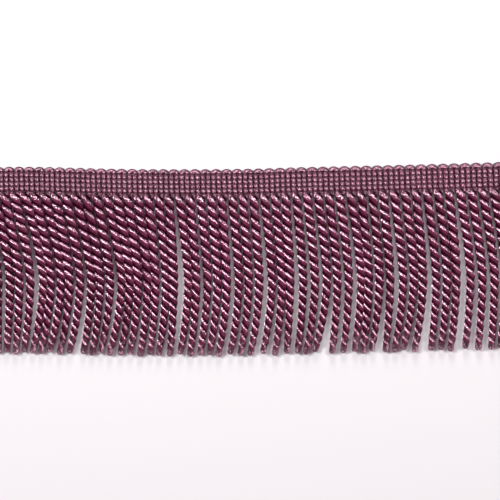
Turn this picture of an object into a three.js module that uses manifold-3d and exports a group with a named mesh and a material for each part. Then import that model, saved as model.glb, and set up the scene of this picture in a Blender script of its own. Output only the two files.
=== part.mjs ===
// A cut length of bullion fringe trim, lying face up.
// Two pieces: the crochet-knitted heading with its looped edge, and the row of twisted cords that
// hang from a narrow root strip along the heading's lower edge.
// Millimetres. +X runs along the trim, +Y from the cords' tips to the looped edge, +Z up.
import * as THREE from "three";
import { mergeVertices } from "three/addons/utils/BufferGeometryUtils.js";
import Module from "manifold-3d";

// Whole trim
const CORDS = 51;
const TRIM_HEIGHT = 75; // looped edge to the cords' tips
const LEFT_END_X = -110.8;
const EDGE_Y = 36.4; // the looped edge where the bow is lowest

// Cord spacing: the band is stretched a little more towards its right end
const FIRST_PITCH = 4.04; // cord to cord at the left end
const PITCH_GROWTH = 0.0088; // what each pitch adds to the one before

// Heading
const HEADING_WIDTH = 10.4;
const HEADING_THICKNESS = 2.2;
const RIB_RELIEF = 0.6; // depth of the grooves between the weft ribs
const ROW_RELIEF = 0.4; // depth of the grooves between the chain rows
const CHAIN_ROWS = 4;
const ROW_PITCH = 1.82;
const LOOP_WIDTH = 2.8; // looped edge to the groove above the first chain row
const LOOP_RIDGE = 1.5; // looped edge to the crest of the loops
const LOOP_THICKNESS = 1.8;
const SCALLOP_DEPTH = 1.1; // how far the edge falls back between two loops
const SHOULDER = 0.3; // share of that depth at a loop's two sides
const EDGE_THICKNESS = 1.1; // the band at its two outer edges

// Root strip and cords
const PARTING = 0.3; // heading to root strip
const STRIP_WIDTH = 1.1;
const STRIP_THICKNESS = 2.1;
const CORD_RADIUS = 1.55; // corners of the three-sided cord
const ROOT_RADIUS = 0.88; // where the yarn leaves the strip, before the twist fills out
const TIP_RADIUS = 0.9;
const TIP_ROUNDING = 0.014; // share of the cord's length that rounds off its tip
const CORD_SIDES = 3;
const CORD_STEPS = 33;
const FILL_STEPS = 2; // steps in which the cord fills out at its root
const TWIST_STEP = 40; // degrees of twist at each step
const TIP_UNEVENNESS = 0.5; // how far the tips lie above or below their line
const TIP_RHYTHM = 2.4; // radians of that unevenness from one tip to the next
const LEAN_SHARE = 0.55; // share of the length in which a cord reaches its full lean
const LEAN_POWER = 1.4;
const CURL_START = 0.5; // share of the length where a cord starts to swing back
const CURL_POWER = 1.9;

// The bow of the looped edge: its rise above its lowest line, by the distance from the left end.
const BOW = [
  { along: 0, rise: 0.8 },
  { along: 20, rise: 1.0 },
  { along: 60, rise: 0.1 },
  { along: 105, rise: 0.1 },
  { along: 130, rise: 0.8 },
  { along: 170, rise: 1.7 },
  { along: 220, rise: 3.1 },
];

// The bunches that the cords lie in, left to right. lean and end say how far the middle of a bunch
// lies to the right of its roots, at half length and at its tips; the pitches are from cord to cord.
const BUNCHES = [
  { cords: 3, lean: 6.3, end: 5.4, midPitch: 4.6, tipPitch: 3.4 },
  { cords: 1, lean: 6.5, end: 4.1, midPitch: 0, tipPitch: 0 },
  { cords: 2, lean: 7.3, end: 2.9, midPitch: 3.8, tipPitch: 3.4 },
  { cords: 3, lean: 6.5, end: 1.8, midPitch: 3.9, tipPitch: 4.0 },
  { cords: 4, lean: 6.1, end: 2.1, midPitch: 4.0, tipPitch: 3.4 },
  { cords: 4, lean: 4.3, end: 1.1, midPitch: 3.6, tipPitch: 4.0 },
  { cords: 2, lean: 2.9, end: 0.3, midPitch: 3.4, tipPitch: 4.5 },
  { cords: 2, lean: 3.3, end: 0.2, midPitch: 3.4, tipPitch: 4.0 },
  { cords: 3, lean: 2.8, end: -0.8, midPitch: 4.1, tipPitch: 3.7 },
  { cords: 3, lean: 2.9, end: -1.1, midPitch: 4.2, tipPitch: 4.0 },
  { cords: 3, lean: 2.5, end: 0, midPitch: 3.9, tipPitch: 4.8 },
  { cords: 3, lean: 3.4, end: -0.4, midPitch: 4.5, tipPitch: 3.4 },
  { cords: 3, lean: 3.7, end: 1.5, midPitch: 4.8, tipPitch: 4.5 },
  { cords: 2, lean: 3.2, end: 0.1, midPitch: 3.8, tipPitch: 3.4 },
  { cords: 3, lean: 3.4, end: 0.1, midPitch: 4.5, tipPitch: 3.5 },
  { cords: 1, lean: 3.4, end: -0.7, midPitch: 0, tipPitch: 0 },
  { cords: 3, lean: 3.4, end: 1.1, midPitch: 3.9, tipPitch: 3.9 },
  { cords: 3, lean: 4.5, end: 2.8, midPitch: 4.9, tipPitch: 5.2 },
  { cords: 3, lean: 5.2, end: 2.5, midPitch: 4.4, tipPitch: 4.3 },
];

const LOOK_AHEAD = 1e-3; // share of a cord's length over which its direction is taken

const wasm = await Module();
wasm.setup();

// The place along X of a cord's root; ribs and loops lie at fractions between whole numbers.
function cordX(number) {
  return LEFT_END_X + FIRST_PITCH * (number + 0.5) + (PITCH_GROWTH / 2) * number ** 2;
}

// The looped edge's Y at a place along X: a smooth curve through the rows of BOW.
function edgeY(x) {
  const along = x - LEFT_END_X;
  const last = BOW.length - 1;
  let row = 0;
  while (row < last - 1 && BOW[row + 1].along < along) row += 1;
  const slope = (n) => {
    const before = BOW[Math.max(n - 1, 0)];
    const after = BOW[Math.min(n + 1, last)];
    return (after.rise - before.rise) / (after.along - before.along);
  };
  const span = BOW[row + 1].along - BOW[row].along;
  const t = THREE.MathUtils.clamp((along - BOW[row].along) / span, 0, 1);
  const rise =
    BOW[row].rise * (2 * t ** 3 - 3 * t ** 2 + 1) +
    BOW[row + 1].rise * (3 * t ** 2 - 2 * t ** 3) +
    slope(row) * span * (t ** 3 - 2 * t ** 2 + t) +
    slope(row + 1) * span * (t ** 3 - t ** 2);
  return EDGE_Y + rise;
}

// How each cord lies: the X of its root, its middle and its tip.
function layCords() {
  const cords = [];
  for (const bunch of BUNCHES) {
    const first = cords.length;
    const centre = (bunch.cords - 1) / 2;
    const rootX = cordX(first + centre);
    for (let n = 0; n < bunch.cords; n += 1) {
      cords.push({
        number: first + n,
        root: cordX(first + n),
        mid: rootX + bunch.lean + (n - centre) * bunch.midPitch,
        tip: rootX + bunch.end + (n - centre) * bunch.tipPitch,
      });
    }
  }
  return cords;
}

// A point on a cord's centre line, from 0 in the root strip to 1 at the tip. The cord leans from
// its root, hangs straight about half way and swings back towards its tip.
function cordPoint(cord, t) {
  const lean = t < LEAN_SHARE ? 1 - (1 - t / LEAN_SHARE) ** LEAN_POWER : 1;
  const curl = t > CURL_START ? ((t - CURL_START) / (1 - CURL_START)) ** CURL_POWER : 0;
  const edge = edgeY(cord.root);
  const top = edge - HEADING_WIDTH - PARTING - STRIP_WIDTH / 2;
  const bottom = edge - TRIM_HEIGHT + TIP_UNEVENNESS * Math.sin(TIP_RHYTHM * cord.number);
  return new THREE.Vector3(
    cord.root + (cord.mid - cord.root) * lean + (cord.tip - cord.mid) * curl,
    THREE.MathUtils.lerp(top, bottom, t),
    cordRadius(t),
  );
}

// The radius to the cord's corners, which is also its centre line's height off the surface.
function cordRadius(t) {
  const filled = THREE.MathUtils.smoothstep(t, 0, FILL_STEPS / CORD_STEPS);
  return THREE.MathUtils.lerp(ROOT_RADIUS, CORD_RADIUS, filled);
}

// A closed solid through rings of equally many points, each wound anticlockwise seen from the next.
// capShape is the first ring drawn flat, from which both end caps are cut into triangles.
function loft(rings, capShape) {
  const size = rings[0].length;
  const positions = rings.flat().flatMap((point) => point.toArray());
  const index = [];
  for (let ring = 0; ring < rings.length - 1; ring += 1) {
    for (let j = 0; j < size; j += 1) {
      const a = ring * size + j;
      const b = ring * size + ((j + 1) % size);
      index.push(a, b, b + size, a, b + size, a + size);
    }
  }
  const end = (rings.length - 1) * size;
  for (const [a, b, c] of THREE.ShapeUtils.triangulateShape(capShape, [])) {
    index.push(a, c, b, end + a, end + b, end + c);
  }
  const geometry = new THREE.BufferGeometry();
  geometry.setAttribute("position", new THREE.Float32BufferAttribute(positions, 3));
  geometry.setIndex(index);
  return geometry;
}

function toSolid(geometry) {
  const merged = mergeVertices(geometry, 1e-4);
  return new wasm.Manifold(
    new wasm.Mesh({
      numProp: 3,
      vertProperties: merged.attributes.position.array,
      triVerts: new Uint32Array(merged.index.array),
    }),
  );
}

function toGeometry(solid) {
  const mesh = solid.getMesh();
  const geometry = new THREE.BufferGeometry();
  geometry.setAttribute("position", new THREE.BufferAttribute(mesh.vertProperties, 3));
  geometry.setIndex(new THREE.BufferAttribute(mesh.triVerts, 1));
  geometry.computeVertexNormals();
  return geometry;
}

// One cross-section of the heading, seen along the trim, as { y, z } from the looped edge's line.
// onRib is true on a weft rib and false in a groove; fallBack is the scallop's depth there.
function headingSection(onRib, fallBack) {
  const crest = HEADING_THICKNESS - (onRib ? 0 : RIB_RELIEF);
  const loopCrest = LOOP_THICKNESS - (onRib ? 0 : RIB_RELIEF / 2);
  const points = [
    { y: -HEADING_WIDTH, z: 0 },
    { y: -fallBack, z: 0 },
    { y: -fallBack, z: EDGE_THICKNESS },
    { y: -LOOP_RIDGE, z: loopCrest },
  ];
  for (let row = 0; row < CHAIN_ROWS; row += 1) {
    const groove = LOOP_WIDTH + row * ROW_PITCH;
    points.push({ y: -groove, z: crest - ROW_RELIEF });
    points.push({ y: -groove - ROW_PITCH / 2, z: crest });
  }
  points.push({ y: -HEADING_WIDTH, z: EDGE_THICKNESS });
  return points;
}

// The heading: ribs across the band, chain rows along it, and a loop over every second groove.
function makeHeading() {
  const rings = [];
  let capShape = null;
  for (let quarter = 0; quarter <= CORDS * 4; quarter += 1) {
    const x = cordX(quarter / 4 - 0.5);
    const onRib = quarter % 2 === 1;
    const loopTop = quarter % 4 === 0 && quarter > 0 && quarter < CORDS * 4;
    const fallBack = SCALLOP_DEPTH * (loopTop ? 0 : onRib ? SHOULDER : 1);
    const section = headingSection(onRib, fallBack);
    rings.push(section.map((p) => new THREE.Vector3(x, edgeY(x) + p.y, p.z)));
    capShape ??= section.map((p) => new THREE.Vector2(p.y, p.z));
  }
  return loft(rings, capShape);
}

// The root strip, which follows the heading's lower edge.
function makeRootStrip() {
  const section = [
    new THREE.Vector2(-STRIP_WIDTH, 0),
    new THREE.Vector2(0, 0),
    new THREE.Vector2(0, STRIP_THICKNESS),
    new THREE.Vector2(-STRIP_WIDTH, STRIP_THICKNESS),
  ];
  const rings = [];
  for (let n = 0; n <= CORDS; n += 1) {
    const x = cordX(n - 0.5);
    const y = edgeY(x) - HEADING_WIDTH - PARTING;
    rings.push(section.map((p) => new THREE.Vector3(x, y + p.x, p.y)));
  }
  return loft(rings, section);
}

// One cord: a three-sided body twisted along its path, lying level on the surface.
function makeCord(cord) {
  const up = new THREE.Vector3(0, 0, 1);
  const corners = [...Array(CORD_SIDES).keys()].map((n) => (n * 2 * Math.PI) / CORD_SIDES);
  const phase = -Math.PI / 2; // a corner rests on the surface at every third step
  const rings = [];
  for (let step = 0; step <= CORD_STEPS + 1; step += 1) {
    const atTip = step > CORD_STEPS;
    const t = atTip ? 1 : (step / CORD_STEPS) * (1 - TIP_ROUNDING);
    const centre = cordPoint(cord, t);
    const ahead = cordPoint(cord, t + LOOK_AHEAD);
    const tangent = ahead.sub(centre).setZ(0).normalize();
    const side = up.clone().cross(tangent);
    const radius = atTip ? TIP_RADIUS : cordRadius(t);
    const twist = phase - THREE.MathUtils.degToRad(TWIST_STEP) * step;
    rings.push(
      corners.map((corner) =>
        centre
          .clone()
          .addScaledVector(side, radius * Math.cos(corner + twist))
          .addScaledVector(up, radius * Math.sin(corner + twist)),
      ),
    );
  }
  const capShape = corners.map((a) => new THREE.Vector2(Math.cos(a), Math.sin(a)));
  return loft(rings, capShape);
}

// The fringe: the root strip with every cord's root fused into it.
function makeFringe() {
  let fringe = toSolid(makeRootStrip());
  for (const cord of layCords()) {
    fringe = fringe.add(toSolid(makeCord(cord)));
  }
  return toGeometry(fringe);
}

function namedMesh(name, geometry, colour, roughness) {
  const material = new THREE.MeshStandardMaterial({ color: colour, roughness, metalness: 0 });
  const mesh = new THREE.Mesh(geometry, material);
  mesh.name = name;
  return mesh;
}

const trim = new THREE.Group();
trim.add(namedMesh("heading", makeHeading(), 0x8a4a62, 0.6));
trim.add(namedMesh("bullion_fringe", makeFringe(), 0x7d3f58, 0.5));

export default trim;
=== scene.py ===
"""A cut length of bullion fringe trim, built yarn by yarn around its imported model.

Metres. +X runs along the trim, +Y from the cords' tips to the looped edge, and +Z up. One thick
weft yarn makes the ribs and the loops of the heading and leaves it in the twisted cords. Thin
chain threads lock the ribs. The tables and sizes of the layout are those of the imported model.
"""

import math
from collections import namedtuple

import bpy
import numpy as np
from bpy.props import FloatProperty, FloatVectorProperty, IntProperty, PointerProperty
from bpy.types import Operator, Panel, PropertyGroup
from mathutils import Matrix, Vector


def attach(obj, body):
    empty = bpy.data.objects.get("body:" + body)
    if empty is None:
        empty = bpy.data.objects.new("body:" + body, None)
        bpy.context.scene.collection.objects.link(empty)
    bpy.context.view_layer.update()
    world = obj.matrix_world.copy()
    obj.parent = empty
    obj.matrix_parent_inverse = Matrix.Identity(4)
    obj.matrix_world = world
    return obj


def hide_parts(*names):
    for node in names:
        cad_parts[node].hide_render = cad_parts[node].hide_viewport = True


bl_info = {
    "name": "Bullion fringe trim",
    "version": (1, 0, 0),
    "blender": (4, 5, 0),
    "location": "3D View > Sidebar > Fringe",
    "description": "Makes a bullion fringe trim from its weft yarn, chain threads and cords",
    "category": "Object",
}

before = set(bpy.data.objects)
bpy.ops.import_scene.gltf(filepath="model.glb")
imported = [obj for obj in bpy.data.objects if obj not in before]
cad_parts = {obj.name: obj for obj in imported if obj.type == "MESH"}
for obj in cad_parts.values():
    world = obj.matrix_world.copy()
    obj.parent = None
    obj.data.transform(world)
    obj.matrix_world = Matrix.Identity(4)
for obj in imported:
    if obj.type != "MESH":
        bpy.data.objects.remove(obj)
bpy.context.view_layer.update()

MM = 0.001
UP = np.array([0.0, 0.0, 1.0])
TO_EDGE = np.array([0.0, 1.0, 0.0])

# The trim's layout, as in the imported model
CORDS = 51
TRIM_HEIGHT = 75 * MM  # looped edge to the cords' tips
LEFT_END_X = -110.8 * MM
EDGE_Y = 36.4 * MM  # the looped edge where the bow is lowest
FIRST_PITCH = 4.04 * MM  # cord to cord at the left end
PITCH_GROWTH = 0.0088 * MM  # what each pitch adds to the one before
HEADING_WIDTH = 10.4 * MM
CHAIN_ROWS = 4  # rows of beads; one more line of chain threads bounds them
ROW_PITCH = 1.82 * MM
LOOP_WIDTH = 2.8 * MM  # looped edge to the first line of chain threads
CORD_START = 11.25 * MM  # looped edge to where the cords begin to lean
TIP_UNEVENNESS = 0.5 * MM
TIP_RHYTHM = 2.4  # radians of that unevenness from one tip to the next
LEAN_SHARE = 0.55  # share of the length in which a cord reaches its full lean
LEAN_POWER = 1.4
CURL_START = 0.5  # share of the length where a cord starts to swing back
CURL_POWER = 1.9
RIB_SHARE = 0.25  # a rib's distance from its cord's root, in cord pitches
RIB_PITCH = 0.5  # rib to rib, in cord pitches
LAST_LINE = LOOP_WIDTH + CHAIN_ROWS * ROW_PITCH  # looped edge to the last line of chain threads
TUCK = 0.15 * MM  # how far the ribs and the cords reach past that line
SURFACE_GAP = 0.02 * MM  # the yarn is pressed flat where it lies on the surface
TONE_SEED = 900  # added to a loop's number for its own random draws
STRAY_SEED = 500  # the same for how a cord lies

# The ribs and the loops
RIB_STEP = 0.26 * MM  # length of each face along a rib
LOOP_STEPS = 15  # rings of points round a loop
LOOP_FREE = 0.8 * MM  # past the first chain threads, where a loop has its full size
BEAD_FULLNESS = 0.75  # a smaller power makes a bead squarer from waist to waist

# The chain threads
THREAD_SIDES = 6
THREAD_STEPS = 8  # rings of points from rib to rib
THREAD_CLEAR = 0.4  # how far a thread's middle lies above the yarn, as a share of its radius
THREAD_DIP = 0.25  # its height between two ribs, as a share of its height on a rib
THREAD_SPREAD = 0.07  # from the line's middle to a leg where the legs are closest, in millimetres
THREAD_SWAY = 0.13  # what the widest place adds to that
THREAD_LAG = 0.8  # radians past the rib's middle at which that place lies
FLOAT_GIRTH = 1.15  # thickness of the float beneath the ribs, as a share of the threads'

# The cords, by the distance from their roots
GATHERING = (0.6 * MM, 3.8 * MM)  # the two legs of yarn come together
FILLING = (0.1 * MM, 1.6 * MM)  # the yarn takes a ply's width
TIGHTENING = (0.5 * MM, 3 * MM)  # the strands' lay shortens from the heading's to the cord's
RISING = 2.2 * MM  # the cord's middle has risen to its own height
ROOT_LIT = (0.6 * MM, 2.4 * MM)  # the open lustre of the root fades
SLANT_END = 8 * MM  # the slant of the heading's ribs has faded
EASE_IN = 2.0 * MM  # the twist has its full rate
TAPER_START = 0.3  # share of the length where a cord starts to grow thinner

# The cords, by the distance from their tips
EASE_OUT = 1.4 * MM  # the twist starts to slow down
LOOP_START = 2.2 * MM  # the plies start to open into the loop
LOOP_END = 0.2 * MM  # the loop is fully open
LUSTRE_START = 9 * MM  # the plies start to shine a little more all round
LUSTRE_END = 2 * MM  # that lustre is full
TIP_STEPS = 11  # rings of points round the loop, with the last ones of the two plies

TURN_SPREAD = 0.22  # half turns that a cord may have more or less than the others
PATH_SLACK = 1.1  # faces along a cord, as a multiple of what its length in steps needs
PLY_GAP = 0.01 * MM  # kept free between the flat sides of two plies

# The lustre of the yarn, and the light and shade painted on it: a painted pale side and painted dark
# grooves
CROWN_LEAN = 0.4  # how far a ply's lustrous side leans to the right
PAINTED_LIGHT_LEAN = 0.36  # how far the painted light on a yarn's side leans the other way, to the left
PLY_PAINTED_LIGHT = (0.15, 0.95)  # where the painted light on a ply starts and where it is full, as cosines; below that its grooves are painted dark
RIB_PAINTED_LIGHT = (0.4, 1.0)  # the same for a rib
RIB_SHINE_AND_SHADE = (0.35, 0.7)  # a rib's lustre under a chain thread and on a bead; it dims the painted light too, as painted shade under the threads
BEAD_LIT = (0.3, 0.95)  # a bead's swell between which its lustre grows
LOOP_LIT = (0.1 * MM, 1.2 * MM)  # distance past the first chain threads for the same in a loop
THREAD_SHINE = 0.55
OPEN_SHINE = 0.7  # lustre all round a root and a loop
TIP_SHINE = 0.3  # the same just above a loop, as a share of that
OPEN_BACK = (-1.0, -0.4)  # cosines from a yarn's top between which that lustre grows
STRANDS = 9  # strands laid round each other in the yarn
STRAND_LUSTRE = 0.25  # share of the lustre that only the strands' crests have
LUSTRE_MOTTLE = 0.5  # how unevenly the fibres shine
PAINTED_LIGHT_LEVEL = 0.8  # share of the lit side's colour where the painted light is full
PAINTED_LIGHT_MOTTLE = 2.6  # how uneven that share is
PAINTED_LIGHT_TONE = 0.3  # how much it differs from yarn to yarn
FIBRE_CELLS = (44.0, 0.7, 1.0)  # cells of the fibres' noise: in one turn and in each millimetre
PATCH_CELLS = 420.0  # cells of the patches' noise in a metre
RIDGE_SCALE = 20.0  # scale of the fibres' ridges round the yarn

# The stage
FLOOR_SIZE = 12.0
FLOOR_MOTTLE = 1.01  # the floor's lighter patches against its colour
SENSOR_WIDTH = 36.0  # millimetres, as in any full-frame camera
FRAME_LEVEL = 2 * MM  # height at which the frame's width is measured

# The looped edge's rise above its lowest line, by the distance from the left end
BowPoint = namedtuple("BowPoint", "along rise")
BOW = [
    BowPoint(0 * MM, 0.8 * MM),
    BowPoint(20 * MM, 1.0 * MM),
    BowPoint(60 * MM, 0.1 * MM),
    BowPoint(105 * MM, 0.1 * MM),
    BowPoint(130 * MM, 0.8 * MM),
    BowPoint(170 * MM, 1.7 * MM),
    BowPoint(220 * MM, 3.1 * MM),
]

# The bunches that the cords lie in, in millimetres: lean and end say how far a bunch's middle lies
# to the right of its roots, at half length and at the tips; the pitches are from cord to cord
Bunch = namedtuple("Bunch", "cords lean end mid_pitch tip_pitch")
BUNCHES = [
    Bunch(cords=3, lean=6.3, end=5.4, mid_pitch=4.6, tip_pitch=3.4),
    Bunch(cords=1, lean=6.5, end=4.1, mid_pitch=0.0, tip_pitch=0.0),
    Bunch(cords=2, lean=7.3, end=2.9, mid_pitch=3.8, tip_pitch=3.4),
    Bunch(cords=3, lean=6.5, end=1.8, mid_pitch=3.9, tip_pitch=4.0),
    Bunch(cords=4, lean=6.1, end=2.1, mid_pitch=4.0, tip_pitch=3.4),
    Bunch(cords=4, lean=4.3, end=1.1, mid_pitch=3.6, tip_pitch=4.0),
    Bunch(cords=2, lean=2.9, end=0.3, mid_pitch=3.4, tip_pitch=4.5),
    Bunch(cords=2, lean=3.3, end=0.2, mid_pitch=3.4, tip_pitch=4.0),
    Bunch(cords=3, lean=2.8, end=-0.8, mid_pitch=4.1, tip_pitch=3.7),
    Bunch(cords=3, lean=2.9, end=-1.1, mid_pitch=4.2, tip_pitch=4.0),
    Bunch(cords=3, lean=2.5, end=0.0, mid_pitch=3.9, tip_pitch=4.8),
    Bunch(cords=3, lean=3.4, end=-0.4, mid_pitch=4.5, tip_pitch=3.4),
    Bunch(cords=3, lean=3.7, end=1.5, mid_pitch=4.8, tip_pitch=4.5),
    Bunch(cords=2, lean=3.2, end=0.1, mid_pitch=3.8, tip_pitch=3.4),
    Bunch(cords=3, lean=3.4, end=0.1, mid_pitch=4.5, tip_pitch=3.5),
    Bunch(cords=1, lean=3.4, end=-0.7, mid_pitch=0.0, tip_pitch=0.0),
    Bunch(cords=3, lean=3.4, end=1.1, mid_pitch=3.9, tip_pitch=3.9),
    Bunch(cords=3, lean=4.5, end=2.8, mid_pitch=4.9, tip_pitch=5.2),
    Bunch(cords=3, lean=5.2, end=2.5, mid_pitch=4.4, tip_pitch=4.3),
]

Cord = namedtuple("Cord", "number root mid tip")

# A yarn's rings of points and their UVs, where it is lustrous (crest), where light and shade are painted
# on it (body: paler on one side, dark in the grooves), and its tone
Tube = namedtuple("Tube", "rings uvs crest body tone")

# How the light side of a yarn lies: the cosines from its top at which its lustre (crown) and its
# painted light (pale) start and are full, and how far the lustrous side leans to the right
Look = namedtuple("Look", "crown pale lean")

# How rough the lustre is, how strong (as an index of refraction) and how deep the fibres' ridges
Finish = namedtuple("Finish", "roughness gloss ridge")
HEADING_FINISH = Finish(roughness=0.27, gloss=2.6, ridge=0.015 * MM)
THREAD_FINISH = Finish(roughness=0.5, gloss=1.8, ridge=0.01 * MM)
CORD_FINISH = Finish(roughness=0.2, gloss=3.3, ridge=0.04 * MM)

# Where the faces' edges lie round a yarn: close together on its outer side
AROUND = np.radians(
    [-180, -120, -90, -72, -56, -42, -30, -20, -10, 0, 10, 20, 30, 42, 56, 72, 90, 120]
)


# Sizes and colours that a user may change


class YarnSizes(PropertyGroup):
    """The thick weft yarn, from which the ribs, the loops and the cords are made."""

    strand_lay: FloatProperty(
        name="Strand lay",
        description="Length of yarn in which its strands turn once",
        default=6.0 * MM,
        unit="LENGTH",
    )
    heading_lay: FloatProperty(
        name="Heading lay",
        description="The strand lay in the heading, where the yarn is not twisted hard",
        default=16.0 * MM,
        unit="LENGTH",
    )
    rib_crown: FloatVectorProperty(
        name="Rib crown",
        description="Where a rib's lustre starts and where it is full: cosines from its top",
        default=(0.55, 0.95),
        size=2,
    )
    ply_crown: FloatVectorProperty(
        name="Ply crown",
        description="The same for a ply of a cord",
        default=(0.78, 0.985),
        size=2,
    )


class CordSizes(PropertyGroup):
    """The twisted cords, in each of which the weft yarn lies doubled."""

    ply_offset: FloatProperty(
        name="Ply offset",
        description="Cord's middle to the middle of a ply",
        default=0.05 * MM,
        unit="LENGTH",
    )
    ply_height: FloatProperty(
        name="Ply height",
        description="Middle of a ply to the cord's outside",
        default=1.76 * MM,
        unit="LENGTH",
    )
    ply_width: FloatProperty(
        name="Ply width",
        description="Middle of a ply to its side, along the cord's surface",
        default=1.44 * MM,
        unit="LENGTH",
    )
    root_girth: FloatProperty(
        name="Root girth",
        description="Thickness of a cord's upper part, as a share of the ply sizes",
        default=1.14,
        subtype="FACTOR",
    )
    tip_girth: FloatProperty(
        name="Tip girth", description="The same at its tip", default=0.88, subtype="FACTOR"
    )
    loop_offset: FloatProperty(
        name="Loop offset",
        description="Cord's middle to the middle of the yarn in the loop at its tip",
        default=0.55 * MM,
        unit="LENGTH",
    )
    loop_yarn: FloatProperty(
        name="Loop yarn",
        description="Half the thickness of the yarn in that loop",
        default=0.82 * MM,
        unit="LENGTH",
    )
    half_turns: IntProperty(
        name="Half turns", description="Times that the plies cross in one cord", default=16
    )
    tightening: FloatProperty(
        name="Tightening",
        description="How much tighter than the mean the twist is at the tip, and slacker at the root",
        default=0.11,
        subtype="FACTOR",
    )
    step: FloatProperty(
        name="Step",
        description="Length of each face along a cord, at most",
        default=0.4 * MM,
        unit="LENGTH",
    )
    wander: FloatProperty(
        name="Wander",
        description="How far the twist runs ahead or behind half way down, as an angle",
        default=0.9,
        subtype="ANGLE",
    )
    stray: FloatProperty(
        name="Stray",
        description="How far a cord may lie out of its bunch's line half way down",
        default=0.45 * MM,
        unit="LENGTH",
    )
    seed: IntProperty(name="Seed", description="Seed of the cords' unevenness", default=7)
    cords_per_piece: IntProperty(
        name="Cords a piece", description="Cords that are joined into one piece", default=9
    )


class HeadingSizes(PropertyGroup):
    """The heading's ribs, loops and chain threads."""

    middle_height: FloatProperty(
        name="Middle height",
        description="Surface to the middle of the ribs",
        default=1.05 * MM,
        unit="LENGTH",
    )
    bead_height: FloatProperty(
        name="Bead height",
        description="Middle of a rib to its top, between two lines of chain threads",
        default=1.07 * MM,
        unit="LENGTH",
    )
    bead_width: FloatProperty(
        name="Bead width",
        description="Middle of a rib to its side, between two lines of chain threads",
        default=1.04 * MM,
        unit="LENGTH",
    )
    waist_height: FloatProperty(
        name="Waist height",
        description="Middle of a rib to its top, under a chain thread",
        default=0.8 * MM,
        unit="LENGTH",
    )
    edge_waist_height: FloatProperty(
        name="Edge waist height",
        description="The same at the loops, where the first chain threads are drawn tight",
        default=0.5 * MM,
        unit="LENGTH",
    )
    waist_width: FloatProperty(
        name="Waist width",
        description="Middle of a rib to its side, under a chain thread",
        default=1.0 * MM,
        unit="LENGTH",
    )
    loop_height: FloatProperty(
        name="Loop height",
        description="Middle of the yarn in a loop to its top",
        default=0.9 * MM,
        unit="LENGTH",
    )
    loop_yarn: FloatProperty(
        name="Loop yarn",
        description="Middle of the yarn in a loop to its side",
        default=1.0 * MM,
        unit="LENGTH",
    )
    loop_top: FloatProperty(
        name="Loop top",
        description="Looped edge's line to the middle of the yarn at the top of a loop",
        default=1.22 * MM,
        unit="LENGTH",
    )
    loop_rise: FloatProperty(
        name="Loop rise",
        description="How far a loop arches up from its ribs to the middle of its yarn",
        default=0.6 * MM,
        unit="LENGTH",
    )
    slant: FloatProperty(
        name="Slant",
        description="How far the ribs' feet lie to the right of the loops",
        default=0.3 * MM,
        unit="LENGTH",
    )
    thread_radius: FloatProperty(
        name="Thread radius",
        description="Radius of the chain threads",
        default=0.17 * MM,
        unit="LENGTH",
    )


class YarnColours(PropertyGroup):
    """The colours and the lustre of the yarn, with the light and shade painted on it."""

    # Near black: the painted shade in the yarn's grooves and on its shaded side
    yarn: FloatVectorProperty(
        name="Yarn",
        description="Colour of the yarn in its grooves, without its lustre",
        default=(0.015, 0.0001, 0.003),
        subtype="COLOR",
        size=3,
    )
    # The colour of the painted light on the yarn's lit side
    painted_lit_side: FloatVectorProperty(
        name="Raised yarn",
        description="Colour of the yarn's pale side, without its lustre",
        default=(0.17, 0.03, 0.072),
        subtype="COLOR",
        size=3,
    )
    # Near black: the threads' own colour, darkened as painted shade of the recesses they lie in
    thread: FloatVectorProperty(
        name="Thread",
        description="Colour of the chain threads",
        default=(0.02, 0.0007, 0.004),
        subtype="COLOR",
        size=3,
    )
    lustre: FloatVectorProperty(
        name="Lustre",
        description="Tint of the light that the silky fibres throw back",
        default=(1.0, 0.6, 0.76),
        subtype="COLOR",
        size=3,
    )
    floor: FloatVectorProperty(
        name="Floor",
        description="Colour of the surface that the trim lies on",
        default=(0.8, 0.756, 0.782),
        subtype="COLOR",
        size=3,
    )


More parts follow.
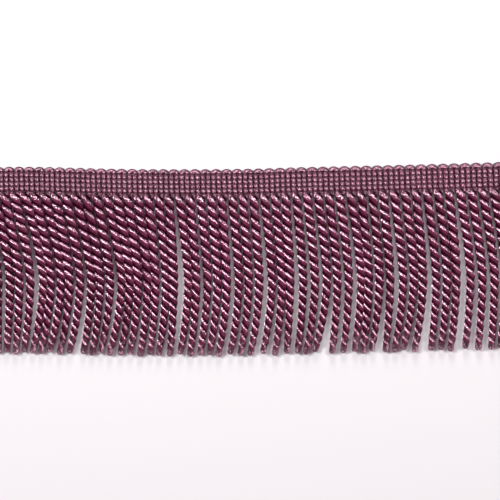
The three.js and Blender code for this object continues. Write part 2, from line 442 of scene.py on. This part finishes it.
class StudioSizes(PropertyGroup):
    """The camera's frame and the light."""

    frame_width: FloatProperty(
        name="Frame width",
        description="Width of the surface that the camera sees",
        default=200 * MM,
        unit="LENGTH",
    )
    frame_x: FloatProperty(
        name="Frame X", description="Middle of the frame", default=-2.04 * MM, unit="LENGTH"
    )
    frame_y: FloatProperty(
        name="Frame Y", description="Middle of the frame", default=3.8 * MM, unit="LENGTH"
    )
    lens: FloatProperty(
        name="Lens", description="The camera's focal length, in millimetres", default=100.0
    )
    lamp_reach: FloatProperty(
        name="Lamp reach",
        description="Middle of the trim to each side lamp, along the trim",
        default=0.5,
        unit="LENGTH",
    )
    lamp_height: FloatProperty(
        name="Lamp height", description="Height of the side lamps", default=0.66, unit="LENGTH"
    )
    lamp_forward: FloatProperty(
        name="Lamp forward",
        description="How far the side lamps stand towards the looped edge's side",
        default=0.17,
        unit="LENGTH",
    )
    lamp_size: FloatProperty(
        name="Lamp size", description="Width of each soft lamp", default=0.15, unit="LENGTH"
    )
    lamp_length: FloatProperty(
        name="Lamp length", description="Length of each soft lamp", default=0.3, unit="LENGTH"
    )
    left_power: FloatProperty(
        name="Left lamp", description="Power of the left lamp", default=4.7, unit="POWER"
    )
    right_power: FloatProperty(
        name="Right lamp", description="Power of the right lamp", default=3.8, unit="POWER"
    )
    back_reach: FloatProperty(
        name="Back reach",
        description="Middle of the trim to the lamp on the looped edge's side",
        default=0.6,
        unit="LENGTH",
    )
    back_height: FloatProperty(
        name="Back height", description="Height of that lamp", default=0.32, unit="LENGTH"
    )
    back_power: FloatProperty(
        name="Back lamp", description="Power of that lamp", default=2.4, unit="POWER"
    )
    front_power: FloatProperty(
        name="Front lamp",
        description="Power of the lamp opposite it, on the cords' side",
        default=0.25,
        unit="POWER",
    )
    top_height: FloatProperty(
        name="Top height", description="Height of the lamp overhead", default=0.9, unit="LENGTH"
    )
    top_power: FloatProperty(
        name="Top lamp", description="Power of the lamp overhead", default=0.3, unit="POWER"
    )
    fill_strength: FloatProperty(
        name="Fill strength", description="Light of the pale room all round", default=0.07
    )


class FringeSettings(PropertyGroup):
    """All that the trim is made from."""

    yarn: PointerProperty(type=YarnSizes)
    cord: PointerProperty(type=CordSizes)
    heading: PointerProperty(type=HeadingSizes)
    colour: PointerProperty(type=YarnColours)
    studio: PointerProperty(type=StudioSizes)


# How the trim lies


def cord_x(number):
    """The X of a cord's root. Ribs and loops lie at fractions between whole numbers."""
    return LEFT_END_X + FIRST_PITCH * (number + 0.5) + PITCH_GROWTH / 2 * number**2


def edge_y(x):
    """The looped edge's Y at X: a smooth curve through the rows of BOW."""
    knots, rises = np.array(BOW).T
    last = len(BOW) - 1
    before, after = np.arange(last + 1) - 1, np.arange(last + 1) + 1
    before, after = before.clip(0), after.clip(max=last)
    slopes = (rises[after] - rises[before]) / (knots[after] - knots[before])
    along = np.asarray(x) - LEFT_END_X
    row = np.clip(np.searchsorted(knots, along) - 1, 0, last - 1)
    span = knots[row + 1] - knots[row]
    t = np.clip((along - knots[row]) / span, 0, 1)
    return (
        EDGE_Y
        + rises[row] * (2 * t**3 - 3 * t**2 + 1)
        + rises[row + 1] * (3 * t**2 - 2 * t**3)
        + slopes[row] * span * (t**3 - 2 * t**2 + t)
        + slopes[row + 1] * span * (t**3 - t**2)
    )


def lay_cords():
    """How each cord lies: the X of its root, its middle and its tip."""
    cords = []
    for bunch in BUNCHES:
        first, centre = len(cords), (bunch.cords - 1) / 2
        root = cord_x(first + centre)
        for n in range(bunch.cords):
            mid = root + (bunch.lean + (n - centre) * bunch.mid_pitch) * MM
            tip = root + (bunch.end + (n - centre) * bunch.tip_pitch) * MM
            cords.append(Cord(first + n, cord_x(first + n), mid, tip))
    return cords


# Yarns as tubes


def unit(vectors):
    return vectors / np.linalg.norm(vectors, axis=-1, keepdims=True)


def smooth_step(values, start, end):
    t = np.clip((values - start) / (end - start), 0, 1)
    return t * t * (3 - 2 * t)


def blend(start, end, share):
    return start + (end - start) * share


def dots(one, other):
    """The dot product of each row, as a column."""
    return (one * other).sum(axis=-1)[:, None]


def length_along(path):
    """The distance from a path's first point to each of its points."""
    steps = np.linalg.norm(np.diff(path, axis=0), axis=1)
    return np.concatenate([[0.0], np.cumsum(steps)])


def yarn_tube(path, out, half_out, half_side, lay, look, reach_in=None, open_at=None, shine=1.0, tone=0.5):
    """A yarn of strands laid round each other, as rings of points along its path.

    out is the direction of each ring's half_out, and half_side lies across it. The UVs follow the
    strands, which turn once in each lay. open_at is the lustre that the yarn has all round, and
    reach_in says how far it reaches against out, where its neighbour presses it flat. body is
    painted light and shade: pale on the side towards the left, dark in the grooves. shine dims the
    lustre, and that painted light half as much, which paints shade under the chain threads.
    """
    forward = unit(np.gradient(path, axis=0))
    across = unit(np.cross(forward, out))
    out = np.cross(across, forward)
    length = length_along(path)
    rate = 1 / np.broadcast_to(lay, length.shape)
    turns = np.concatenate([[0.0], np.cumsum(np.diff(length) * (rate[1:] + rate[:-1]) / 2)])
    aside = np.cross(TO_EDGE, out)
    aside = aside - dots(aside, forward) * forward

    def facing(towards):
        towards = unit(towards)
        return np.cos(AROUND) * dots(out, towards) + np.sin(AROUND) * dots(across, towards)

    crest = smooth_step(facing(out + look.lean * aside), *look.crown)
    # Painted light and shade: paler towards the left, dark in the grooves
    body = smooth_step(facing(out - PAINTED_LIGHT_LEAN * aside), *look.pale)
    if open_at is not None:
        free = smooth_step(np.cos(AROUND), *OPEN_BACK)
        crest = np.maximum(crest, open_at[:, None] * free)
    outwards = half_out[:, None] * np.cos(AROUND)
    sideways = half_side[:, None] * np.sin(AROUND)
    if reach_in is not None:
        outwards = np.maximum(outwards, -reach_in[:, None])
    rings = (
        path[:, None]
        + outwards[..., None] * out[:, None]
        + sideways[..., None] * across[:, None]
    )
    rings[..., 2] = rings[..., 2].clip(SURFACE_GAP)
    around = np.append(AROUND, np.pi) / (2 * np.pi) - turns[:, None]
    # shine dims the painted light too: painted shade under the chain threads
    shine = np.reshape(shine, (-1, 1))
    return Tube(rings, strand_uvs(around, length), shine * crest, (1 + shine) / 2 * body, tone)


def thread_tube(path, radius):
    """A thin round thread along a path that never runs straight up."""
    forward = unit(np.gradient(path, axis=0))
    side = unit(np.cross(UP, forward))
    out = np.cross(forward, side)
    around = np.linspace(0, 2 * np.pi, THREAD_SIDES, endpoint=False)
    rings = path[:, None] + radius * (
        np.cos(around)[:, None] * side[:, None] - np.sin(around)[:, None] * out[:, None]
    )
    around = np.tile(np.arange(THREAD_SIDES + 1) / THREAD_SIDES, (len(path), 1))
    dim = np.full(rings.shape[:2], THREAD_SHINE)
    return Tube(rings, strand_uvs(around, length_along(path)), dim, dim, 0.5)


def strand_uvs(around, length):
    """UVs from the share of a turn round the yarn and the distance along it, in millimetres."""
    return np.stack([around, np.broadcast_to(length[:, None] / MM, around.shape)], -1)


def tube_arrays(tube, first):
    """A tube's points, triangles, UVs, crest, body and tone, with a pole that closes each end."""
    count, sides = tube.rings.shape[:2]
    points = np.concatenate([tube.rings.reshape(-1, 3), tube.rings[[0, -1]].mean(axis=1)])
    ring, column = np.meshgrid(np.arange(count - 1), np.arange(sides), indexing="ij")
    corners = [
        (ring, column),
        (ring, column + 1),
        (ring + 1, column),
        (ring, column + 1),
        (ring + 1, column + 1),
        (ring + 1, column),
    ]
    faces = [np.stack([first + r * sides + c % sides for r, c in corners], -1).reshape(-1, 3)]
    uvs = [np.stack([tube.uvs[r, c] for r, c in corners], 2).reshape(-1, 2)]
    column = np.arange(sides)
    for pole, ring, one, other in (
        (0, 0, column + 1, column),
        (1, count - 1, column, column + 1),
    ):
        tip = np.full(sides, first + count * sides + pole)
        ends = [first + ring * sides + end % sides for end in (one, other)]
        faces.append(np.stack([tip, *ends], -1))
        middle = np.tile(tube.uvs[ring].mean(axis=0), (sides, 1))
        end_uvs = np.stack([middle, tube.uvs[ring, one], tube.uvs[ring, other]], 1)
        uvs.append(end_uvs.reshape(-1, 2))
    crest, body = (np.append(values.ravel(), [0.0, 0.0]) for values in (tube.crest, tube.body))
    tone = np.full(len(points), tube.tone)
    return points, np.concatenate(faces), np.concatenate(uvs), crest, body, tone


def join_tubes(name, tubes, material):
    """One mesh object from closed tubes, with UVs along and round each yarn."""
    found, first = [], 0
    for tube in tubes:
        found.append(tube_arrays(tube, first))
        first += len(found[-1][0])
    points, triangles, uvs, crest, body, tone = (np.concatenate(part) for part in zip(*found))
    mesh = bpy.data.meshes.new(name)
    mesh.from_pydata(points.astype(np.float32), [], triangles.astype(np.int32))
    mesh.uv_layers.new(name="yarn").data.foreach_set("uv", uvs.astype(np.float32).ravel())
    # body holds the painted light and shade
    for attribute, values in (("crest", crest), ("body", body), ("tone", tone)):
        layer = mesh.attributes.new(attribute, "FLOAT", "POINT")
        layer.data.foreach_set("value", values.astype(np.float32))
    mesh.shade_smooth()
    mesh.materials.append(material)
    mesh.validate()
    piece = bpy.data.objects.new(name, mesh)
    bpy.context.scene.collection.objects.link(piece)
    return piece


# Materials


class Wire:
    """A node's output. Arithmetic on it adds Math nodes to its tree."""

    def __init__(self, tree, socket):
        self.tree = tree
        self.socket = socket

    def maths(self, operation, *values):
        return self.tree.node("ShaderNodeMath", {"operation": operation}, *values)

    def __add__(self, other):
        return self.maths("ADD", self, other)

    def __mul__(self, other):
        return self.maths("MULTIPLY", self, other)

    def __sub__(self, other):
        return self.maths("SUBTRACT", self, other)

    def __rsub__(self, other):
        return self.maths("SUBTRACT", other, self)

    __radd__ = __add__
    __rmul__ = __mul__


class Tree:
    """The nodes of a new material, all made by one method."""

    def __init__(self, name):
        self.material = bpy.data.materials.new(name)
        self.material.use_nodes = True
        self.nodes = self.material.node_tree.nodes
        self.nodes.clear()

    def node(self, kind, settings=None, *values, output=0, **named):
        """A node's output; values fill its inputs in order, and named ones by their names."""
        node = self.nodes.new(kind)
        for name, setting in (settings or {}).items():
            setattr(node, name, setting)
        for key, value in [*enumerate(values), *named.items()]:
            socket = node.inputs[key]
            if isinstance(value, Wire):
                self.material.node_tree.links.new(value.socket, socket)
            elif value is not None:
                socket.default_value = value
        return Wire(self, node.outputs[output]) if node.outputs else None

    def blend(self, factor, one, other):
        """A colour between two colours, which are the node's sockets 6 and 7."""
        unused = [None] * 5
        return self.node(
            "ShaderNodeMix", {"data_type": "RGBA"}, factor, *unused, one, other, output=2
        )

    def finish(self, shader):
        self.node("ShaderNodeOutputMaterial", None, shader)
        return self.material


def rgba(colour):
    return (*colour, 1.0)


def yarn_material(name, base, painted_lit_side, lustre, finish):
    """Silky yarn: fine fibres along the strands and a lustrous side, with light painted on one side and
    shade painted in the grooves.
    """
    tree = Tree(name)
    uv = tree.node("ShaderNodeUVMap", {"uv_map": "yarn"})
    crest = tree.node("ShaderNodeAttribute", {"attribute_name": "crest"}, output=2)
    body = tree.node("ShaderNodeAttribute", {"attribute_name": "body"}, output=2)
    tone = tree.node("ShaderNodeAttribute", {"attribute_name": "tone"}, output=2)
    place = tree.node("ShaderNodeMapping", None, uv, Scale=FIBRE_CELLS)
    fibres = tree.node(
        "ShaderNodeTexNoise", None, Vector=place, Scale=1.0, Detail=3.0, Roughness=0.6
    )
    spot = tree.node("ShaderNodeTexCoord", output=3)
    patches = tree.node("ShaderNodeTexNoise", None, Vector=spot, Scale=PATCH_CELLS, Detail=2.0)
    around = tree.node("ShaderNodeSeparateXYZ", None, uv)
    angle = around * (STRANDS * math.pi)
    strand = angle.maths("COSINE", angle)
    strand = strand.maths("ABSOLUTE", strand)
    uneven = (fibres - 0.5) * 0.5 + (patches - 0.5) * 0.5
    # Painted light and shade from the body mask, mottled by the fibres and each yarn's tone
    pale = body * (PAINTED_LIGHT_LEVEL + uneven * PAINTED_LIGHT_MOTTLE + (tone - 0.5) * PAINTED_LIGHT_TONE)
    colour = tree.blend(pale, rgba(base), rgba(painted_lit_side))
    height = tree.node(
        "ShaderNodeTexWave", {"bands_direction": "X"}, Vector=uv, Scale=RIDGE_SCALE, output=1
    )
    bump = tree.node("ShaderNodeBump", None, Height=height, Strength=1.0, Distance=finish.ridge)
    dull = tree.node(
        "ShaderNodeBsdfPrincipled",
        None,
        **{"Base Color": colour, "Roughness": 0.8, "Specular IOR Level": 0.0},
    )
    silk = tree.node(
        "ShaderNodeBsdfPrincipled",
        None,
        **{
            "Base Color": colour,
            "Roughness": finish.roughness,
            "IOR": finish.gloss,
            "Specular IOR Level": 1.0,
            "Specular Tint": rgba(lustre),
            "Normal": bump,
        },
    )
    shine = crest * (1 - STRAND_LUSTRE + STRAND_LUSTRE * strand + uneven * LUSTRE_MOTTLE)
    return tree.finish(tree.node("ShaderNodeMixShader", None, shine, dull, silk))


def floor_material(colours):
    """The plain pale surface."""
    tree = Tree("pale surface")
    spot = tree.node("ShaderNodeTexCoord", output=3)
    mottle = tree.node("ShaderNodeTexNoise", None, Vector=spot, Scale=3.0)
    paler = [channel * FLOOR_MOTTLE for channel in colours.floor]
    colour = tree.blend(mottle, rgba(colours.floor), rgba(paler))
    shader = tree.node(
        "ShaderNodeBsdfPrincipled", None, **{"Base Color": colour, "Roughness": 0.9}
    )
    return tree.finish(shader)


# The pieces


def rib_sizes(heading, depth):
    """A rib's half height, half width and shine at a depth from the looped edge. Low shine also paints
    shade on the rib under the chain threads.
    """
    row = (depth - LOOP_WIDTH) / ROW_PITCH
    swell = np.abs(np.sin(np.pi * row))
    bulge = swell**BEAD_FULLNESS
    tight = 1 - smooth_step(depth, LOOP_WIDTH, LOOP_WIDTH + 0.5 * ROW_PITCH)
    waist = blend(heading.waist_height, heading.edge_waist_height, tight)
    free = smooth_step(LOOP_WIDTH - depth, 0, LOOP_FREE)
    in_loop = depth < LOOP_WIDTH
    height = np.where(
        in_loop, blend(waist, heading.loop_height, free), blend(waist, heading.bead_height, bulge)
    )
    width = np.where(
        in_loop,
        blend(heading.waist_width, heading.loop_yarn, free),
        blend(heading.waist_width, heading.bead_width, bulge),
    )
    lit = np.where(
        in_loop, smooth_step(LOOP_WIDTH - depth, *LOOP_LIT), smooth_step(swell, *BEAD_LIT)
    )
    return height, width, blend(*RIB_SHINE_AND_SHADE, lit)


def rib_shift(heading, depth):
    """How far a rib lies to the right of its loop's leg at a depth from the looped edge."""
    return heading.slant * np.clip((depth - LOOP_WIDTH) / (HEADING_WIDTH - LOOP_WIDTH), 0, 1)


def hairpin(settings, number):
    """The weft yarn between two cords: up one rib, round its loop and down the next rib."""
    heading = settings.heading
    left, right = cord_x(number - RIB_SHARE), cord_x(number + RIB_SHARE)
    middle, radius = (left + right) / 2, (right - left) / 2
    loop_depth = heading.loop_top + heading.loop_rise
    rising = np.arange(LAST_LINE + TUCK, loop_depth, -RIB_STEP)
    shift = rib_shift(heading, rising)
    turns = np.linspace(np.pi, 0, LOOP_STEPS)
    x = np.concatenate([left + shift, middle + radius * np.cos(turns), right + shift[::-1]])
    depth = np.concatenate([rising, loop_depth - heading.loop_rise * np.sin(turns), rising[::-1]])
    path = np.stack([x, edge_y(x) - depth, np.full(len(x), heading.middle_height)], -1)
    if number < 0:
        path = path[x >= LEFT_END_X]
    if number > CORDS - 1:
        path = path[x <= cord_x(CORDS - 0.5)]
    depth = edge_y(path[:, 0]) - path[:, 1]
    height, width, shine = rib_sizes(heading, depth)
    width = width * (right - left) / (RIB_PITCH * FIRST_PITCH)
    free = smooth_step(LOOP_WIDTH - depth, 0, LOOP_FREE)
    path[:, 2] -= free * (heading.middle_height - heading.loop_height)
    out = np.tile(UP, (len(path), 1))
    tone = np.random.default_rng([settings.cord.seed, TONE_SEED + int(number + 1)]).random()
    look = Look(settings.yarn.rib_crown, RIB_PAINTED_LIGHT, 0.0)
    lay = settings.yarn.heading_lay
    return yarn_tube(path, out, height, width, lay, look, shine=shine, tone=tone)


def chain_threads(settings, line):
    """One line of chain threads: two legs over each rib and one float beneath it."""
    heading = settings.heading
    depth = LOOP_WIDTH + line * ROW_PITCH
    number = np.arange(-0.5, CORDS - 0.5 + 1e-9, RIB_PITCH / THREAD_STEPS)
    x = cord_x(number) + rib_shift(heading, depth)
    beat = 2 * np.pi * (number + RIB_SHARE) / RIB_PITCH
    over = 0.5 + 0.5 * np.cos(beat)
    spread = (THREAD_SPREAD + THREAD_SWAY * (0.5 + 0.5 * np.cos(beat - THREAD_LAG))) * MM
    waist = heading.waist_height if line else heading.edge_waist_height
    clear = waist + heading.thread_radius * THREAD_CLEAR
    rise = clear * (THREAD_DIP + (1 - THREAD_DIP) * over)
    y = edge_y(x) - depth
    tubes = []
    for side in (-1, 1):
        path = np.stack([x, y + side * spread, heading.middle_height + rise], -1)
        tubes.append(thread_tube(path, heading.thread_radius))
    path = np.stack([x, y, heading.middle_height - rise], -1)
    tubes.append(thread_tube(path, heading.thread_radius * FLOAT_GIRTH))
    return tubes


def cord_axis(cord, settings):
    """The points down the middle of a cord, from the heading's last chain line to its loop end."""
    size, heading = settings.cord, settings.heading
    edge = edge_y(cord.root)
    start = LAST_LINE - TUCK
    reach = TRIM_HEIGHT - TIP_UNEVENNESS * np.sin(TIP_RHYTHM * cord.number)
    end = reach - size.loop_offset - size.loop_yarn
    depth = np.linspace(start, end, round((end - start) / size.step * PATH_SLACK))
    t = np.clip((depth - CORD_START) / (reach - CORD_START), 0, 1)
    lean = 1 - (1 - np.clip(t / LEAN_SHARE, 0, 1)) ** LEAN_POWER
    curl = np.clip((t - CURL_START) / (1 - CURL_START), 0, 1) ** CURL_POWER
    x = cord.root + (cord.mid - cord.root) * lean + (cord.tip - cord.mid) * curl
    stray = np.random.default_rng([size.seed, STRAY_SEED + cord.number]).uniform(-1, 1)
    x = x + size.stray * stray * np.sin(np.pi * t)
    x = x + rib_shift(heading, depth) * (1 - smooth_step(depth, start, start + SLANT_END))
    risen = smooth_step(depth, start, start + RISING)
    z = blend(heading.middle_height, size.ply_offset + size.ply_height, risen)
    return np.stack([x, edge - depth, z], -1)


def twist_share(along, tightening):
    """The share of a cord's twist that is done at each point; it starts and ends gently."""
    total = along[-1]
    run = np.where(along < EASE_IN, along**2 / (2 * EASE_IN), along - EASE_IN / 2)
    late = np.clip(along - (total - EASE_OUT), 0, None)
    run = (run - late**2 / (2 * EASE_OUT)) / (total - EASE_IN / 2 - EASE_OUT / 2)
    return run - tightening * run * (1 - run)


def cord_tube(settings, cord):
    """One cord: the yarn runs down, turns in a loop at the tip and runs back up round itself."""
    size, heading, yarn = settings.cord, settings.heading, settings.yarn
    rng = np.random.default_rng([size.seed, cord.number])
    axis = cord_axis(cord, settings)
    down = unit(np.gradient(axis, axis=0) * (1, 1, 0))
    side = np.cross(UP, down)
    along = length_along(axis)
    total = along[-1]

    run = twist_share(along, size.tightening)
    half_turns = size.half_turns + rng.uniform(-TURN_SPREAD, TURN_SPREAD)
    wander = size.wander * (
        rng.normal() * np.sin(np.pi * run) + 0.5 * rng.normal() * np.sin(2 * np.pi * run)
    )
    turn = np.pi - np.pi * half_turns * run - wander
    out = np.cos(turn)[:, None] * side + np.sin(turn)[:, None] * UP

    rib_gap = cord_x(cord.number + RIB_SHARE) - cord.root
    at_root = along < total / 2
    tip_loop = smooth_step(along, total - LOOP_START, total - LOOP_END)
    gathered = smooth_step(along, *GATHERING) - tip_loop
    filled = smooth_step(along, *FILLING) - tip_loop
    girth = blend(size.root_girth, size.tip_girth, smooth_step(along, TAPER_START * total, total))
    offset = blend(np.where(at_root, rib_gap, size.loop_offset), size.ply_offset, gathered)
    loose_height = np.where(at_root, heading.waist_width, size.loop_yarn)
    height = blend(loose_height, girth * size.ply_height, gathered)
    loose_width = np.where(at_root, heading.waist_height, size.loop_yarn)
    width = blend(loose_width, girth * size.ply_width, filled)

    open_tip = smooth_step(along, total - LUSTRE_START, total - LUSTRE_END) * (1 - tip_loop)
    lit = tip_loop + TIP_SHINE * open_tip + 1 - smooth_step(along, *ROOT_LIT)
    lay = 1 / blend(1 / yarn.heading_lay, 1 / yarn.strand_lay, smooth_step(along, *TIGHTENING))
    bend = np.linspace(0, np.pi, TIP_STEPS)[1:-1, None]
    loop_out = np.cos(bend) * out[-1] + np.sin(bend) * down[-1]
    loop = axis[-1] + size.loop_offset * loop_out

    def both_ways(values):
        return np.concatenate([values, np.full(len(bend), values[-1]), values[::-1]])

    descending = axis + offset[:, None] * out
    climbing = (axis - offset[:, None] * out)[::-1]
    return yarn_tube(
        np.concatenate([descending, loop, climbing]),
        np.concatenate([out, loop_out, -out[::-1]]),
        both_ways(height),
        both_ways(width),
        both_ways(lay),
        Look(yarn.ply_crown, PLY_PAINTED_LIGHT, CROWN_LEAN),
        reach_in=both_ways(offset) - PLY_GAP,
        open_at=OPEN_SHINE * both_ways(lit),
        tone=rng.random(),
    )


def declare(piece, node):
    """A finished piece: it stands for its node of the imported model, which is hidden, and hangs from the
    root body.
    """
    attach(piece, "root")
    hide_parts(node)


class FRINGE_OT_stage(Operator):
    """Make the pale surface, the soft light and the camera"""

    bl_idname = "fringe.stage"
    bl_label = "Stage"

    def execute(self, context):
        scene, studio = context.scene, context.scene.fringe.studio
        bpy.ops.object.select_all(action="DESELECT")
        bpy.ops.mesh.primitive_plane_add(size=FLOOR_SIZE)
        floor = context.object
        floor.name = "studio_floor"
        floor.data.materials.append(floor_material(scene.fringe.colour))

        reach, forward, height = studio.lamp_reach, studio.lamp_forward, studio.lamp_height
        for name, place, power in (
            ("left lamp", (-reach, forward, height), studio.left_power),
            ("right lamp", (reach, forward, height), studio.right_power),
            ("back lamp", (0, studio.back_reach, studio.back_height), studio.back_power),
            ("front lamp", (0, -studio.back_reach, studio.back_height), studio.front_power),
            ("top lamp", (0, forward, studio.top_height), studio.top_power),
        ):
            light = bpy.data.lights.new(name, "AREA")
            light.shape = "RECTANGLE"
            light.size, light.size_y = studio.lamp_size, studio.lamp_length
            light.energy = power
            lamp = bpy.data.objects.new(name, light)
            lamp.location = place
            long_side = "X" if name == "top lamp" else "Y"
            lamp.rotation_euler = Vector(place).to_track_quat("Z", long_side).to_euler()
            scene.collection.objects.link(lamp)

        room = bpy.data.worlds.new("pale room")
        room.use_nodes = True
        room.node_tree.nodes["Background"].inputs["Color"].default_value = (1, 1, 1, 1)
        room.node_tree.nodes["Background"].inputs["Strength"].default_value = studio.fill_strength
        scene.world = room
        scene.view_settings.view_transform = "Standard"

        camera = bpy.data.cameras.new("camera")
        camera.sensor_width = SENSOR_WIDTH
        camera.lens = studio.lens
        camera.clip_start, camera.clip_end = 0.01, 20.0
        eye = bpy.data.objects.new("camera", camera)
        distance = studio.frame_width * studio.lens / SENSOR_WIDTH
        eye.location = (studio.frame_x, studio.frame_y, distance + FRAME_LEVEL)
        scene.collection.objects.link(eye)
        scene.camera = eye
        return {"FINISHED"}


class FRINGE_OT_heading_weft(Operator):
    """Make the weft yarn of the heading: its ribs and the loops of its edge"""

    bl_idname = "fringe.heading_weft"
    bl_label = "Ribs and loops"

    def execute(self, context):
        settings = context.scene.fringe
        tubes = [hairpin(settings, n + 0.5) for n in range(-1, CORDS)]
        colour = settings.colour
        material = yarn_material(
            "heading yarn", colour.yarn, colour.painted_lit_side, colour.lustre, HEADING_FINISH
        )
        piece = join_tubes("heading_weft", tubes, material)
        declare(piece, "heading")
        return {"FINISHED"}


class FRINGE_OT_chain_threads(Operator):
    """Make the thin chain threads that lock the ribs"""

    bl_idname = "fringe.chain_threads"
    bl_label = "Chain threads"

    def execute(self, context):
        settings = context.scene.fringe
        tubes = [t for line in range(CHAIN_ROWS + 1) for t in chain_threads(settings, line)]
        colour = settings.colour
        material = yarn_material(
            "chain thread", colour.thread, colour.yarn, colour.lustre, THREAD_FINISH
        )
        piece = join_tubes("chain_threads", tubes, material)
        declare(piece, "heading")
        return {"FINISHED"}


class FRINGE_OT_cords(Operator):
    """Make the twisted cords"""

    bl_idname = "fringe.cords"
    bl_label = "Twisted cords"

    def execute(self, context):
        settings = context.scene.fringe
        colour = settings.colour
        material = yarn_material(
            "cord yarn", colour.yarn, colour.painted_lit_side, colour.lustre, CORD_FINISH
        )
        cords, share = lay_cords(), settings.cord.cords_per_piece
        for first in range(0, len(cords), share):
            tubes = [cord_tube(settings, cord) for cord in cords[first : first + share]]
            piece = join_tubes(f"cords_{first // share + 1}", tubes, material)
            declare(piece, "bullion_fringe")
        return {"FINISHED"}


class FRINGE_PT_pieces(Panel):
    """The steps that make the trim, in order"""

    bl_label = "Bullion fringe"
    bl_idname = "FRINGE_PT_pieces"
    bl_space_type = "VIEW_3D"
    bl_region_type = "UI"
    bl_category = "Fringe"

    def draw(self, context):
        for step in STEPS:
            self.layout.operator(step.bl_idname)


SETTINGS = [YarnSizes, CordSizes, HeadingSizes, YarnColours, StudioSizes, FringeSettings]
STEPS = [FRINGE_OT_stage, FRINGE_OT_heading_weft, FRINGE_OT_chain_threads, FRINGE_OT_cords]


def register():
    for made in [*SETTINGS, *STEPS, FRINGE_PT_pieces]:
        bpy.utils.register_class(made)
    bpy.types.Scene.fringe = PointerProperty(type=FringeSettings)


def unregister():
    del bpy.types.Scene.fringe
    for made in reversed([*SETTINGS, *STEPS, FRINGE_PT_pieces]):
        bpy.utils.unregister_class(made)


def main():
    register()
    bpy.ops.fringe.stage()
    bpy.ops.fringe.heading_weft()
    bpy.ops.fringe.chain_threads()
    bpy.ops.fringe.cords()
    band = (HEADING_WIDTH, float(cord_x(CORDS - 0.5) - LEFT_END_X))


if __name__ == "__main__":
    main()
